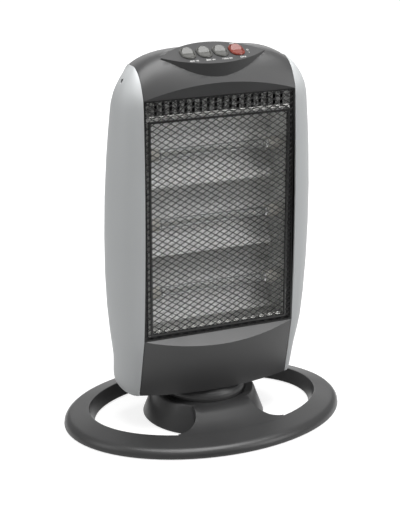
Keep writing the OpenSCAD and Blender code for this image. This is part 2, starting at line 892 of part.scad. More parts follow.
function switch_x(k) = switch_pitch * (k - 1.5);

// Oval with straight sides, longer from front to back
module oval(r) {
    square([2 * r, oval_run], center = true);
    for (s = [-1, 1])
        translate([0, s * oval_run / 2])
            circle(r = r);
}

// Solid whose outline is an oval all the way up its profile, given as radius and height
module oval_body(profile) {
    for (s = [-1, 1])
        translate([0, s * oval_run / 2, 0])
            rotate_extrude()
                polygon(profile);
    for (s = [0, 1])
        mirror([s, 0, 0])
            translate([0, oval_run / 2, 0])
                rotate([90, 0, 0])
                    linear_extrude(height = oval_run)
                        polygon(profile);
}

module upper_fascia() {
    color(dark_grey)
        difference() {
            union() {
                difference() {
                    dome_shell();
                    panel_block(0, 0, 15);
                }
                panel_block(0, -19, 0);
            }
            panel_block(shell_t, -34, -shell_t);
            on_panel()
                for (k = [0 : 3])
                    translate([switch_x(k), 0, -10])
                        linear_extrude(height = 20)
                            oval(switch_hole_r);
        }
}

// ---------------------------------------------------------------- head: back cover

back_cols = [-1, -0.8, -0.55, -0.3, 0, 0.3, 0.55, 0.8, 1];
function back_low_point(c, z, t) =
    let (x = c * (back_half_w - seam_gap / 2))
    [x, rear_y(x, z) - t, z];
function back_top_point(c, v, t) = back_point(c * (back_x(v) - seam_gap / 2), v, t);

louvre_w = 62;
louvre_h = 4;
louvre_pitch = 9.5;
module louvres(z0, n) {
    for (k = [0 : n - 1])
        for (s = [-1, 1])
            translate([s * (louvre_w / 2 + 6) - louvre_w / 2, 15, z0 + k * louvre_pitch])
                cube([louvre_w, 60, louvre_h]);
}

module back_cover() {
    low = [0, 8, 18, 32, 50, 330];
    steps = [0.97, 0.9, 0.8, 0.68, 0.56, 0.47, fascia_back_u - 1 + seam_gap / 100];
    top = [for (u = steps) crown_v(u)];
    color(black)
        difference() {
            wall_between(
                concat(
                    [for (v = [for (i = [len(top) - 1 : -1 : 0]) top[i]]) [for (c = back_cols) back_top_point(c, v, 0)]],
                    [for (h = [for (i = [len(low) - 1 : -1 : 0]) low[i]]) [for (c = back_cols) back_low_point(c, head_z0 + h, 0)]]
                ),
                concat(
                    [for (v = [for (i = [len(top) - 1 : -1 : 0]) top[i]]) [for (c = back_cols) back_top_point(c, v, shell_t)]],
                    [for (h = [for (i = [len(low) - 1 : -1 : 0]) low[i]]) [for (c = back_cols) back_low_point(c, head_z0 + h, shell_t)]]
                )
            );
            louvres(312, 7);
            louvres(128, 5);
            translate([gland_x, 0, gland_z])
                rotate([-90, 0, 0])
                    cylinder(h = 80, r = gland_r + 0.2);
        }
}

// ---------------------------------------------------------------- head: inside the grille

frame_y0 = -45.6;
frame_y1 = -32;
lip_y = -43.6;
frame_t = 1.4;
frame_gap = 0.2;
flange_w = 2.5;
flange_y = -44.8;
lip_z0 = 124.8;
lip_z1 = 375;
vent_z0 = lip_z1 + 0.8;

module frame_outline(inset) {
    z0 = grille_z0 + frame_gap + inset;
    z1 = grille_z1 - frame_gap - inset;
    polygon([
        [-seam_x(z0) + seam_gap / 2 + inset, z0], [seam_x(z0) - seam_gap / 2 - inset, z0],
        [seam_x(z1) - seam_gap / 2 - inset, z1], [-seam_x(z1) + seam_gap / 2 + inset, z1]
    ]);
}

// Black frame round the grille opening, with the ledge that the sheet metal rests on
module inner_frame() {
    color(black) {
        plate_xz(frame_y0, frame_y1)
            difference() {
                frame_outline(0);
                frame_outline(frame_t);
            }
        plate_xz(lip_y, lip_y + frame_t)
            difference() {
                frame_outline(frame_t / 2);
                translate([-lip_half_w + 2.5, lip_z0 + 1.4])
                    square([2 * lip_half_w - 5, grille_z1 - lip_z0 - 6]);
            }
        // side flanges that reach behind the front edges of the side panels
        plate_xz(flange_y, flange_y + 2)
            for (s = [0, 1])
                mirror([s, 0])
                    polygon([
                        [seam_x(grille_z0) - 1, grille_z0 + 6],
                        [seam_x(grille_z0) + flange_w, grille_z0 + 6],
                        [seam_x(grille_z1) + flange_w, grille_z1 - 6],
                        [seam_x(grille_z1) - 1, grille_z1 - 6]
                    ]);
    }
}

// Grey plate with upright vent slots over the reflector
module vent_plate() {
    z1 = grille_z1 - frame_gap - frame_t - 0.3;
    color([0.45, 0.45, 0.45])
        plate_xz(lip_y - sheet_t, lip_y)
            difference() {
                translate([-lip_half_w, vent_z0])
                    square([2 * lip_half_w, z1 - vent_z0]);
                for (k = [0 : vent_n - 1])
                    translate([(k - (vent_n - 1) / 2) * vent_pitch - vent_w / 2, z1 - 1 - vent_h])
                        square([vent_w, vent_h]);
            }
}

// Profile of the reflector troughs in y and z
trough_cy = trough_y - trough_r;
function lamp_z(k) = lamp_mid_z + (k - 1) * lamp_pitch;
ridge_y = trough_cy + sqrt(trough_r * trough_r - lamp_pitch * lamp_pitch / 4);
dish_z0 = lamp_z(0) - lamp_pitch / 2;
dish_z1 = lamp_z(2) + lamp_pitch / 2;

module trough_discs(r) {
    for (k = [0 : 2])
        translate([trough_cy, lamp_z(k)])
            circle(r = r, $fn = 128);
}

module reflector_profile() {
    intersection() {
        difference() {
            trough_discs(trough_r + sheet_t);
            trough_discs(trough_r);
        }
        translate([ridge_y, dish_z0])
            square([40, dish_z1 - dish_z0]);
    }
}

// Wings from the outer troughs to the lips
module wing_profile() {
    polygon([
        [ridge_y, dish_z1 - sheet_t], [ridge_y + sheet_t, dish_z1], [lip_y, lip_z1 - 4 + sheet_t],
        [lip_y - sheet_t, lip_z1 - 4]
    ]);
    polygon([
        [ridge_y, dish_z0 + sheet_t], [ridge_y + sheet_t, dish_z0], [lip_y, lip_z0 + 3 - sheet_t],
        [lip_y - sheet_t, lip_z0 + 3]
    ]);
}

// Polished reflector: three troughs, two wings and a flat lip all round
lip_side_w = 4.5;
module reflector() {
    mouth_half_w = lip_half_w - lip_side_w;
    color([0.85, 0.85, 0.86]) {
        translate([-dish_half_w, 0, 0])
            rotate([90, 0, 90])
                linear_extrude(height = 2 * dish_half_w)
                    reflector_profile();
        intersection() {
            translate([-mouth_half_w - 1, 0, 0])
                rotate([90, 0, 90])
                    linear_extrude(height = 2 * mouth_half_w + 2)
                        wing_profile();
            translate([0, 0, lip_z0 - 10])
                linear_extrude(height = lip_z1 - lip_z0 + 20)
                    polygon([
                        [-dish_half_w, ridge_y + 5], [-dish_half_w, ridge_y],
                        [-mouth_half_w, lip_y], [-mouth_half_w, lip_y - 2],
                        [mouth_half_w, lip_y - 2], [mouth_half_w, lip_y],
                        [dish_half_w, ridge_y], [dish_half_w, ridge_y + 5]
                    ]);
        }
        plate_xz(lip_y - sheet_t, lip_y)
            difference() {
                translate([-lip_half_w, lip_z0])
                    square([2 * lip_half_w, lip_z1 - lip_z0]);
                translate([-mouth_half_w, lip_z0 + 3])
                    square([2 * mouth_half_w, lip_z1 - 4 - lip_z0 - 3]);
            }
    }
}

// End walls that close the troughs, with a hole for each lamp cap
end_x = dish_half_w + 0.15;
end_t = 1;
cap_hole_r = cap_r + 0.4;
module end_wall() {
    x1 = lip_half_w - lip_side_w + 0.15;
    difference() {
        translate([0, 0, dish_z0 - 1])
            linear_extrude(height = dish_z1 - dish_z0 + 2)
                polygon([
                    [end_x, trough_y + 2], [end_x, ridge_y], [x1, lip_y],
                    [x1 + end_t, lip_y], [end_x + end_t, ridge_y], [end_x + end_t, trough_y + 2]
                ]);
        for (k = [0 : 2])
            translate([end_x - 1, lamp_y, lamp_z(k)])
                rotate([0, 90, 0])
                    cylinder(h = 12, r = cap_hole_r);
    }
}

module reflector_ends() {
    color([0.8, 0.8, 0.81]) {
        end_wall();
        mirror([1, 0, 0])
            end_wall();
    }
}

// Wires of one slant of the guard, from edge to edge of the rim that lies on the frame
guard_inset = 0.3;
guard_edge_w = 1.2;
wire_inset = guard_inset + guard_edge_w / 2;
wire_z0 = grille_z0 + frame_gap + wire_inset;
wire_z1 = grille_z1 - frame_gap - wire_inset;
mesh_m = mesh_h / mesh_w;
// half width of the wired field at height z is edge_a - edge_b * z
edge_b = (seam_x_low - seam_x_top) / (crown_z - head_z0);
edge_a = seam_x_low + edge_b * head_z0 - seam_gap / 2 - wire_inset;
function wire_ends(c) =
    let (
        xa = max((edge_b * c - edge_a) / (1 - edge_b * mesh_m), (wire_z0 - c) / mesh_m),
        xb = min((edge_a - edge_b * c) / (1 + edge_b * mesh_m), (wire_z1 - c) / mesh_m)
    )
    [[xa, c + mesh_m * xa], [xb, c + mesh_m * xb]];

module wire_layer(y) {
    c0 = wire_z0 - mesh_m * edge_a;
    for (c = [c0 + mesh_h / 2 : mesh_h : wire_z1 + mesh_m * edge_a]) {
        e = wire_ends(c);
        if (e[1][0] - e[0][0] > 3)
            rod_xz(e[0], e[1], y, wire_r);
    }
}

module mesh_guard() {
    color(black) {
        plate_xz(frame_y0 - guard_rim, frame_y0)
            difference() {
                frame_outline(guard_inset);
                frame_outline(guard_inset + guard_edge_w);
            }
        plate_xz(frame_y0 - guard_rim, frame_y0)
            difference() {
                translate([-brace_half_w - brace_w / 2, brace_z0 - brace_w / 2])
                    square([2 * brace_half_w + brace_w, brace_z1 - brace_z0 + brace_w]);
                translate([-brace_half_w + brace_w / 2, brace_z0 + brace_w / 2])
                    square([2 * brace_half_w - brace_w, brace_z1 - brace_z0 - brace_w]);
            }
        wire_layer(frame_y0 - guard_rim / 2 - wire_r - 0.02);
        mirror([1, 0, 0])
            wire_layer(frame_y0 - guard_rim / 2 + wire_r + 0.02);
    }
}

// Sheet-steel heat shield round the back of the reflector, standing on the rear face of the frame
shield_y = 13;
shield_half_w = lip_half_w + 0.9;
shield_z0 = grille_z0 + 3;
shield_z1 = grille_z1 - 3.8;
module heat_shield() {
    color(steel)
        translate([0, 0, shield_z0])
            linear_extrude(height = shield_z1 - shield_z0)
                difference() {
                    translate([-shield_half_w - sheet_t, lip_y + frame_t])
                        square([2 * (shield_half_w + sheet_t), shield_y + sheet_t - lip_y - frame_t]);
                    translate([-shield_half_w, lip_y + frame_t - 1])
                        square([2 * shield_half_w, shield_y - lip_y - frame_t + 1]);
                }
}

// ---------------------------------------------------------------- lamps

cap_x0 = lamp_half_l + 0.3;
cap_x1 = lip_half_w - 0.4;
module lamp_tube(k) {
    color([0.85, 0.87, 0.9, 0.5])
        translate([-lamp_half_l, lamp_y, lamp_z(k)])
            rotate([0, 90, 0])
                difference() {
                    cylinder(h = 2 * lamp_half_l, r = lamp_r);
                    translate([0, 0, 3])
                        cylinder(h = 2 * lamp_half_l - 6, r = lamp_r - lamp_wall);
                }
}

module lamp_filaments() {
    color([0.9, 0.7, 0.4])
        for (k = [0 : 2])
            translate([-lamp_half_l + 3.2, lamp_y, lamp_z(k)])
                rotate([0, 90, 0]) {
                    cylinder(h = 2 * lamp_half_l - 6.4, r = 0.8);
                    for (x = [18 : 18 : 2 * lamp_half_l - 18])
                        translate([0, 0, x])
                            cylinder(h = 0.8, r = lamp_r - lamp_wall - 0.4);
                }
}

module lamp_caps() {
    color("white")
        for (s = [-1, 1])
            for (k = [0 : 2])
                translate([s > 0 ? cap_x0 : -cap_x1, lamp_y, lamp_z(k)])
                    rotate([0, 90, 0])
                        cylinder(h = cap_x1 - cap_x0, r = cap_r);
}

// Sheet brackets outside the end walls that carry the lamp caps
bracket_x = lip_half_w - lip_side_w + end_t + 1;
bracket_hole_r = cap_r + 0.1;
module lamp_brackets() {
    color(steel)
        for (s = [0, 1])
            mirror([s, 0, 0])
                difference() {
                    union() {
                        translate([bracket_x, lip_y + frame_t, lamp_z(0) - 20])
                            cube([1, 26, lamp_z(2) - lamp_z(0) + 40]);
                        translate([bracket_x, lip_y + frame_t, lamp_z(0) - 20])
                            cube([3, 1, lamp_z(2) - lamp_z(0) + 40]);
                    }
                    for (k = [0 : 2])
                        translate([bracket_x - 1, lamp_y, lamp_z(k)])
                            rotate([0, 90, 0])
                                cylinder(h = 3, r = bracket_hole_r);
                }
}

// Thermal cut-out behind the top of the reflector
module thermal_cutout() {
    color(steel)
        translate([0, trough_y + sheet_t, lamp_z(2)])
            rotate([-90, 0, 0]) {
                cylinder(h = 6, r = 8);
                translate([0, 0, 6])
                    cylinder(h = 8, r = 6);
            }
}

// ---------------------------------------------------------------- switches

pivot_z = bezel_h - 2.6;
case_depth = 10.4;
case_floor = 2.2;
case_r = switch_hole_r - 0.2;
module switch_case(k, c) {
    color(c)
        on_panel()
            translate([switch_x(k), 0, 0])
                difference() {
                    union() {
                        oval_body([
                            [0, -case_depth], [case_r, -case_depth], [case_r, 0], [bezel_r, 0],
                            [bezel_r, bezel_h * 0.45], [bezel_r - 0.9, bezel_h], [0, bezel_h]
                        ]);
                        for (x = [-4, 2])
                            translate([x, -0.4 - 2, -case_depth - 6])
                                cube([1, 4.8, 7]);
                    }
                    translate([0, 0, case_floor - case_depth])
                        linear_extrude(height = 20)
                            oval(bezel_open_r);
                    translate([-case_r - run_gap, 0, pivot_z])
                        rotate([0, 90, 0])
                            cylinder(h = 2 * (case_r + run_gap), r = rocker_pin_r + 0.05);
                }
}

// Rocker turned round its pivot line, so that it stays clear of the bezel as it tips,
// with a valley across its middle and a flat underside
rocker_top = 1.7;
rocker_bottom = 4.4;
rocker_valley = 14;
module rocker(k, c) {
    color(c)
        on_panel()
            translate([switch_x(k), 0, pivot_z])
                rotate([rocker_tilt, 0, 0]) {
                    difference() {
                        rotate([0, 90, 0])
                            rotate_extrude()
                                intersection() {
                                    union() {
                                        translate([oval_run / 2, 0])
                                            circle(r = rocker_r);
                                        translate([0, -rocker_r])
                                            square([oval_run / 2, 2 * rocker_r]);
                                    }
                                    translate([0, -rocker_r])
                                        square([2 * rocker_r + oval_run, 2 * rocker_r]);
                                }
                        translate([-10, -20, -20 - rocker_bottom])
                            cube([20, 40, 20]);
                        for (s = [-1, 1])
                            translate([0, 0, rocker_top])
                                rotate([s * rocker_valley, 0, 0])
                                    translate([-10, s > 0 ? 0 : -20, 0])
                                        cube([20, 20, 20]);
                    }
                    translate([-case_r + 0.1, 0, 0])
                        rotate([0, 90, 0])
                            cylinder(h = 2 * case_r - 0.2, r = rocker_pin_r);
                }
}

switch_grey = [0.62, 0.62, 0.6];
switch_red = [0.8, 0.25, 0.18];
module switch_case_1() { switch_case(0, switch_grey); }
module switch_case_2() { switch_case(1, switch_grey); }
module switch_case_3() { switch_case(2, switch_grey); }
module switch_case_4() { switch_case(3, switch_red); }
module rocker_1() { rocker(0, switch_grey); }
module rocker_2() { rocker(1, switch_grey); }
module rocker_3() { rocker(2, switch_grey); }
module rocker_4() { rocker(3, switch_red); }
module lamp_tube_1() { lamp_tube(0); }
module lamp_tube_2() { lamp_tube(1); }
module lamp_tube_3() { lamp_tube(2); }

// Screws of the side panels
module housing_screws() {
    color(steel)
        for (s = [0, 1])
            mirror([s, 0, 0])
                on_screw_axis()
                    translate([0, 0, -7.6])
                        cylinder(h = 6.2, r = screw_r);
}

base_shell();
base_cover();
cover_screws();
base_feet();
slide_ring();
crank_guide();
turntable();
spigot_washer();
spigot_screw();
crank_arm();
floor_pan();
swivel_motor();
tip_switch();
terminal_block();
cord_gland();
left_side_panel();
right_side_panel();
upper_fascia();
lower_fascia();
back_cover();
inner_frame();
vent_plate();
reflector();
reflector_ends();
mesh_guard();
lamp_tube_1();
lamp_tube_2();
lamp_tube_3();
lamp_filaments();
lamp_caps();
lamp_brackets();
thermal_cutout();
heat_shield();
switch_case_1();
switch_case_2();
switch_case_3();
switch_case_4();
rocker_1();
rocker_2();
rocker_3();
rocker_4();
housing_screws();
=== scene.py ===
import math
import random

import bpy
from mathutils import Matrix, Vector


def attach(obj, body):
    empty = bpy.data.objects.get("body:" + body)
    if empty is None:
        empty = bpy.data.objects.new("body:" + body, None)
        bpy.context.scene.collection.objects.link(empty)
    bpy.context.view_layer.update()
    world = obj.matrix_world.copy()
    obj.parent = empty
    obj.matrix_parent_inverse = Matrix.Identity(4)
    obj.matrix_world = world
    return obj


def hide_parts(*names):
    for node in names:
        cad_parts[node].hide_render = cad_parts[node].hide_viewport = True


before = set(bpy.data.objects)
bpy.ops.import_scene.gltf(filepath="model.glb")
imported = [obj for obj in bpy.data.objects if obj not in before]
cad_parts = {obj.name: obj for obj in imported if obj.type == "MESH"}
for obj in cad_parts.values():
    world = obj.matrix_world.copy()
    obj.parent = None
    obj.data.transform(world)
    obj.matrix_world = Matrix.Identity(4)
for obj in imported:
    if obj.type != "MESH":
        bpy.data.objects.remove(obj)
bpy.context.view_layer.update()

# ---- Camera, white sweep and studio lamps
# The heater stands on a seamless white floor and is seen from its front left,
# a little from above. The light is soft: a large lamp overhead, a second one at
# the front right, and weak ones at the left side and behind on the right.

bpy.ops.object.select_all(action="DESELECT")


def facing(place, target):
    """The turn that points a camera or a lamp from its place at a target."""
    return (Vector(target) - Vector(place)).to_track_quat("-Z", "Y").to_euler()


camera_place = (-0.5996, -1.4014, 0.7218)
camera_target = (-0.004129, 0.0, 0.198094)
bpy.ops.object.camera_add(location=camera_place)
camera = bpy.context.object
camera.name = "camera"
camera.rotation_euler = facing(camera_place, camera_target)
camera.data.sensor_fit = "AUTO"
camera.data.sensor_width = 36.0
camera.data.lens = 98.57
camera.data.clip_start = 0.05
camera.data.dof.use_dof = False
bpy.context.scene.camera = camera
bpy.context.scene.view_settings.view_transform = "Standard"

world = bpy.data.worlds.new("white_studio")
world.use_nodes = True
bpy.context.scene.world = world
nodes, links = world.node_tree.nodes, world.node_tree.links
background = nodes["Background"]
background.inputs["Color"].default_value = (1.0, 1.0, 1.0, 1.0)
# full white behind the object, less in its gloss and least as fill light
fill_level = 0.23
path = nodes.new("ShaderNodeLightPath")
strength = None
for ray, level in (("Is Camera Ray", 1.0), ("Is Transmission Ray", 1.0), ("Is Glossy Ray", 0.5)):
    part = nodes.new("ShaderNodeMath")
    part.operation = "MULTIPLY_ADD"
    part.inputs[1].default_value = level - fill_level
    part.inputs[2].default_value = fill_level
    links.new(path.outputs[ray], part.inputs[0])
    if strength:
        links.new(strength.outputs[0], part.inputs[2])
    strength = part
links.new(strength.outputs[0], background.inputs["Strength"])

sweep_size = 9.0
sweep_front = -0.64
bpy.ops.mesh.primitive_plane_add(size=sweep_size, location=(0.0, sweep_front + sweep_size / 2, 0.0))
floor = bpy.context.object
floor.name = "studio_floor"
floor.data.name = "studio_floor"
sweep = bpy.data.materials.new("white_sweep")
sweep.use_nodes = True
nodes, links = sweep.node_tree.nodes, sweep.node_tree.links
nodes.remove(nodes["Principled BSDF"])
paper = nodes.new("ShaderNodeBsdfDiffuse")
paper.inputs["Color"].default_value = (0.40, 0.40, 0.40, 1.0)
# the sweep glows by itself only where the camera, gloss or clear glass shows it
path = nodes.new("ShaderNodeLightPath")
seen = path.outputs["Is Camera Ray"]
for ray in ("Is Glossy Ray", "Is Transmission Ray"):
    either = nodes.new("ShaderNodeMath")
    either.operation = "MAXIMUM"
    links.new(seen, either.inputs[0])
    links.new(path.outputs[ray], either.inputs[1])
    seen = either.outputs[0]
# the glow rises with the distance from the heater, towards the backdrop
spot = nodes.new("ShaderNodeNewGeometry")
distance = nodes.new("ShaderNodeVectorMath")
distance.operation = "LENGTH"
links.new(spot.outputs["Position"], distance.inputs[0])
rise = nodes.new("ShaderNodeMapRange")
rise.inputs["From Min"].default_value = 0.2
rise.inputs["From Max"].default_value = 1.6
rise.inputs["To Min"].default_value = 0.78
rise.inputs["To Max"].default_value = 1.0
links.new(distance.outputs["Value"], rise.inputs["Value"])
glow_level = nodes.new("ShaderNodeMath")
glow_level.operation = "MULTIPLY"
links.new(seen, glow_level.inputs[0])
links.new(rise.outputs["Result"], glow_level.inputs[1])
glow = nodes.new("ShaderNodeEmission")
links.new(glow_level.outputs[0], glow.inputs["Strength"])
both = nodes.new("ShaderNodeAddShader")
links.new(paper.outputs[0], both.inputs[0])
links.new(glow.outputs[0], both.inputs[1])
links.new(both.outputs[0], nodes["Material Output"].inputs["Surface"])
floor.data.materials.append(sweep)

# the room in front of the table is dark, and only the object's own gloss shows it
curtain_size = 5.0
dark_cloth = bpy.data.materials.new("dark_cloth")
dark_cloth.use_nodes = True
cloth_shader = dark_cloth.node_tree.nodes["Principled BSDF"]
cloth_shader.inputs["Base Color"].default_value = (0.02, 0.02, 0.02, 1.0)
cloth_shader.inputs["Roughness"].default_value = 0.9
for name, place, turn in (
    ("dark_studio_floor", (0.0, -3.2, -0.25), 0.0),
    ("dark_studio_wall", (0.0, -3.4, -1.3), math.pi / 2),
):
    bpy.ops.mesh.primitive_plane_add(size=curtain_size, location=place, rotation=(turn, 0.0, 0.0))
    curtain = bpy.context.object
    curtain.name = name
    curtain.data.name = name
    curtain.visible_camera = False
    curtain.data.materials.append(dark_cloth)

# each lamp: its place, the height on the middle axis that it faces, its size and its watts
for name, place, target_height, width, height, watts in (
    ("lamp_overhead", (0.15, -0.35, 1.9), 0.35, 1.6, 1.2, 38.0),
    ("lamp_left_side", (-1.6, 0.0, 1.15), 0.25, 0.8, 1.2, 6.0),
    ("lamp_back_right", (0.8, 1.9, 1.3), 0.25, 2.2, 1.2, 9.0),
    ("lamp_right_front", (1.5, -1.6, 1.3), 0.25, 1.0, 1.4, 15.0),
):
    bpy.ops.object.light_add(type="AREA", location=place)
    lamp = bpy.context.object
    lamp.name = name
    lamp.data.shape = "RECTANGLE"
    lamp.data.size = width
    lamp.data.size_y = height
    lamp.data.energy = watts
    lamp.rotation_euler = facing(place, (0.0, 0.0, target_height))

# ---- Base: open oval ring, two webs and the hub, one moulding
# Injection-moulded ABS in charcoal grey with a fine spark-eroded grain. The
# head's turntable sits on the hub and the four rubber feet are pressed in below.


def tinted(colour, share):
    """A lighter or darker tone of a colour."""
    return tuple(min(1.0, c * share) for c in colour) + (1.0,)


def grained_finish(name, colour, roughness, grain, depth, metallic=0.0, tone=0.06):
    """A moulded or painted surface: slow drift of tone, uneven gloss and a fine grain."""
    gloss_drift = 0.05
    material = bpy.data.materials.new(name)
    material.use_nodes = True
    nodes, links = material.node_tree.nodes, material.node_tree.links
    shader = nodes["Principled BSDF"]
    shader.inputs["Metallic"].default_value = metallic
    place = nodes.new("ShaderNodeTexCoord")
    drift = nodes.new("ShaderNodeTexNoise")
    drift.inputs["Scale"].default_value = 14.0
    drift.inputs["Detail"].default_value = 4.0
    links.new(place.outputs["Object"], drift.inputs["Vector"])
    shade = nodes.new("ShaderNodeMix")
    shade.data_type = "RGBA"
    shade.inputs["A"].default_value = tinted(colour, 1.0 - tone)
    shade.inputs["B"].default_value = tinted(colour, 1.0 + tone)
    links.new(drift.outputs["Fac"], shade.inputs["Factor"])
    links.new(shade.outputs["Result"], shader.inputs["Base Color"])
    gloss = nodes.new("ShaderNodeMapRange")
    gloss.inputs["From Min"].default_value = 0.3
    gloss.inputs["From Max"].default_value = 0.7
    gloss.inputs["To Min"].default_value = roughness - gloss_drift
    gloss.inputs["To Max"].default_value = roughness + gloss_drift
    links.new(drift.outputs["Fac"], gloss.inputs["Value"])
    links.new(gloss.outputs["Result"], shader.inputs["Roughness"])
    pits = nodes.new("ShaderNodeTexNoise")
    pits.inputs["Scale"].default_value = grain
    pits.inputs["Detail"].default_value = 2.0
    links.new(place.outputs["Object"], pits.inputs["Vector"])
    relief = nodes.new("ShaderNodeBump")
    relief.inputs["Strength"].default_value = 0.35
    relief.inputs["Distance"].default_value = depth
    links.new(pits.outputs["Fac"], relief.inputs["Height"])
    links.new(relief.outputs["Normal"], shader.inputs["Normal"])
    return material


def pick(piece):
    """Select one piece alone, so that the next operators act on it."""
    bpy.ops.object.select_all(action="DESELECT")
    bpy.context.view_layer.objects.active = piece
    piece.select_set(True)


def skin_of(node, name, body, finish, edge=0.0, angle=34.0):
    """A merged copy of a solid with rounded shading and broken edges, standing for it."""
    piece = bpy.data.objects.new(name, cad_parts[node].data.copy())
    piece.data.name = name
    bpy.context.scene.collection.objects.link(piece)
    pick(piece)
    bpy.ops.object.mode_set(mode="EDIT")
    bpy.ops.mesh.select_all(action="SELECT")
    bpy.ops.mesh.remove_doubles(threshold=0.000004)
    bpy.ops.object.mode_set(mode="OBJECT")
    if edge:
        rounding = piece.modifiers.new("broken_edges", "BEVEL")
        rounding.width = edge
        rounding.segments = 2
        rounding.limit_method = "ANGLE"
        rounding.angle_limit = math.radians(angle + 4.0)
        bpy.ops.object.modifier_apply(modifier=rounding.name)
    bpy.ops.object.shade_smooth_by_angle(angle=math.radians(angle))
    even = piece.modifiers.new("even_shading", "WEIGHTED_NORMAL")
    even.keep_sharp = True
    bpy.ops.object.modifier_apply(modifier=even.name)
    piece.data.materials.clear()
    piece.data.materials.append(finish)
    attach(piece, body)
    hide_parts(node)
    return piece


def finish_nodes(finish, *nodes):
    """Give the solids that stay as they are their finish."""
    for node in nodes:
        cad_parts[node].data.materials.clear()
        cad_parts[node].data.materials.append(finish)


charcoal = grained_finish("charcoal_abs", (0.050, 0.050, 0.0505), 0.36, 2600.0, 0.00003)
# painted shade on the base: a darker copy of the same charcoal as the head's mouldings
shaded_charcoal = grained_finish("dark_charcoal_abs", (0.035, 0.035, 0.0355), 0.34, 2600.0, 0.00003)
skin_of("base_shell", "base_moulding", "base", shaded_charcoal, edge=0.0006)

# ---- Base underside: cover plate, its screws, feet, slide ring and crank guide
# A black cover closes the hub from below with four zinc-plated screws. The ring
# that the head glides on and the slot of the swivel drive are natural acetal.

black_matt = grained_finish("black_abs", (0.018, 0.018, 0.019), 0.55, 1900.0, 0.00005)
acetal = grained_finish("natural_acetal", (0.76, 0.76, 0.73), 0.38, 1500.0, 0.00002, tone=0.02)
rubber = grained_finish("black_rubber", (0.022, 0.022, 0.022), 0.78, 1300.0, 0.00008)
zinc = grained_finish("zinc_plated_steel", (0.55, 0.56, 0.56), 0.34, 900.0, 0.00001, metallic=1.0)
finish_nodes(black_matt, "base_cover")
finish_nodes(zinc, "cover_screws")
finish_nodes(rubber, "base_feet")
finish_nodes(acetal, "slide_ring", "crank_guide")

# ---- Swivel: turntable, washer and screw under the bearing, motor and crank
# The turntable carries the head and turns in the hub. The motor inside the head
# drives the acetal crank, whose pin reaches towards the slot of the base.

finish_nodes(charcoal, "turntable")
finish_nodes(zinc, "spigot_washer", "spigot_screw", "swivel_motor")
finish_nodes(acetal, "crank_arm")

# ---- Floor pan, tilt switch, terminal block and cord gland
# The pan closes the head from below. The tilt switch cuts the lamps when the
# heater falls over, and the gland is the place where the mains lead enters.

finish_nodes(charcoal, "floor_pan")
finish_nodes(black_matt, "tip_switch", "cord_gland")
finish_nodes(acetal, "terminal_block")

# ---- Side panels
# Two deep bowed mouldings in silver-painted ABS. Each is held by a screw in a
# counterbored hole near its shoulder and hooked over the frame at the grille.

silver = grained_finish(
    "silver_paint", (0.545, 0.56, 0.565), 0.55, 4200.0, 0.00001, metallic=0.12, tone=0.015
)
skin_of("left_side_panel", "left_panel", "head", silver, edge=0.0005, angle=38.0)
skin_of("right_side_panel", "right_panel", "head", silver, edge=0.0005, angle=38.0)
black_steel = grained_finish(
    "blackened_steel", (0.03, 0.03, 0.031), 0.35, 800.0, 0.00001, metallic=0.8
)
finish_nodes(black_steel, "housing_screws")

# ---- Upper fascia with the switch plateau, and lower fascia with its lens field
# Charcoal ABS mouldings over and under the grille, an even narrow gap away from
# the side panels. The upper one has a flat sloping plateau for the switches,
# with an upright curved wall in front of it.

upper = skin_of("upper_fascia", "upper_moulding", "head", charcoal, angle=19.0)
wall_centre_y = 0.0698
wall_radius = 0.115
plateau_slope = 0.373
crest_y, crest_z = -0.006, 0.4442
on_form = 0.00015
upright = 0.3


def plateau_z(y):
    """The height of the plateau's surface at a place from front to back."""
    return crest_z + plateau_slope * (y - crest_y)


# the plateau and the wall keep a crisp outline, and each an even shading, to their ends
corners = upper.data.vertices
on_wall = [
    abs(math.hypot(v.co.x, v.co.y - wall_centre_y) - wall_radius) < on_form for v in corners
]
on_plateau = [abs(v.co.z - plateau_z(v.co.y)) < on_form for v in corners]
forms = []
forms_at = {}
for face in upper.data.polygons:
    form = "shell"
    if all(on_wall[v] for v in face.vertices) and abs(face.normal.z) < upright:
        form = "wall"
    elif all(on_plateau[v] for v in face.vertices):
        form = "plateau"
    forms.append(form)
    for key in face.edge_keys:
        forms_at.setdefault(key, set()).add(form)
for line in upper.data.edges:
    if len(forms_at[line.key]) > 1:
        line.use_edge_sharp = True
normals = [Vector(n.vector) for n in upper.data.corner_normals]
for face, form in zip(upper.data.polygons, forms):
    for loop in face.loop_indices:
        v = corners[upper.data.loops[loop].vertex_index].co
        if form == "wall":
            normals[loop] = Vector((v.x, v.y - wall_centre_y, 0.0)).normalized()
        elif form == "plateau":
            normals[loop] = Vector((0.0, -plateau_slope, 1.0)).normalized()
upper.data.normals_split_custom_set(normals)
skin_of(
    "lower_fascia", "lower_moulding", "head", charcoal, edge=0.0004, angle=24.0
)

# ---- Back cover
# Charcoal ABS shell with louvres over the lamps and under them. It closes the
# head from behind and is clipped to the side panels.

skin_of("back_cover", "back_moulding", "head", charcoal, edge=0.0005)

# ---- Inner frame, vent plate and reflector
# The black frame round the opening carries the bright sheet metal: the slotted
# plate that lets hot air out and the pressed reflector behind the lamps.


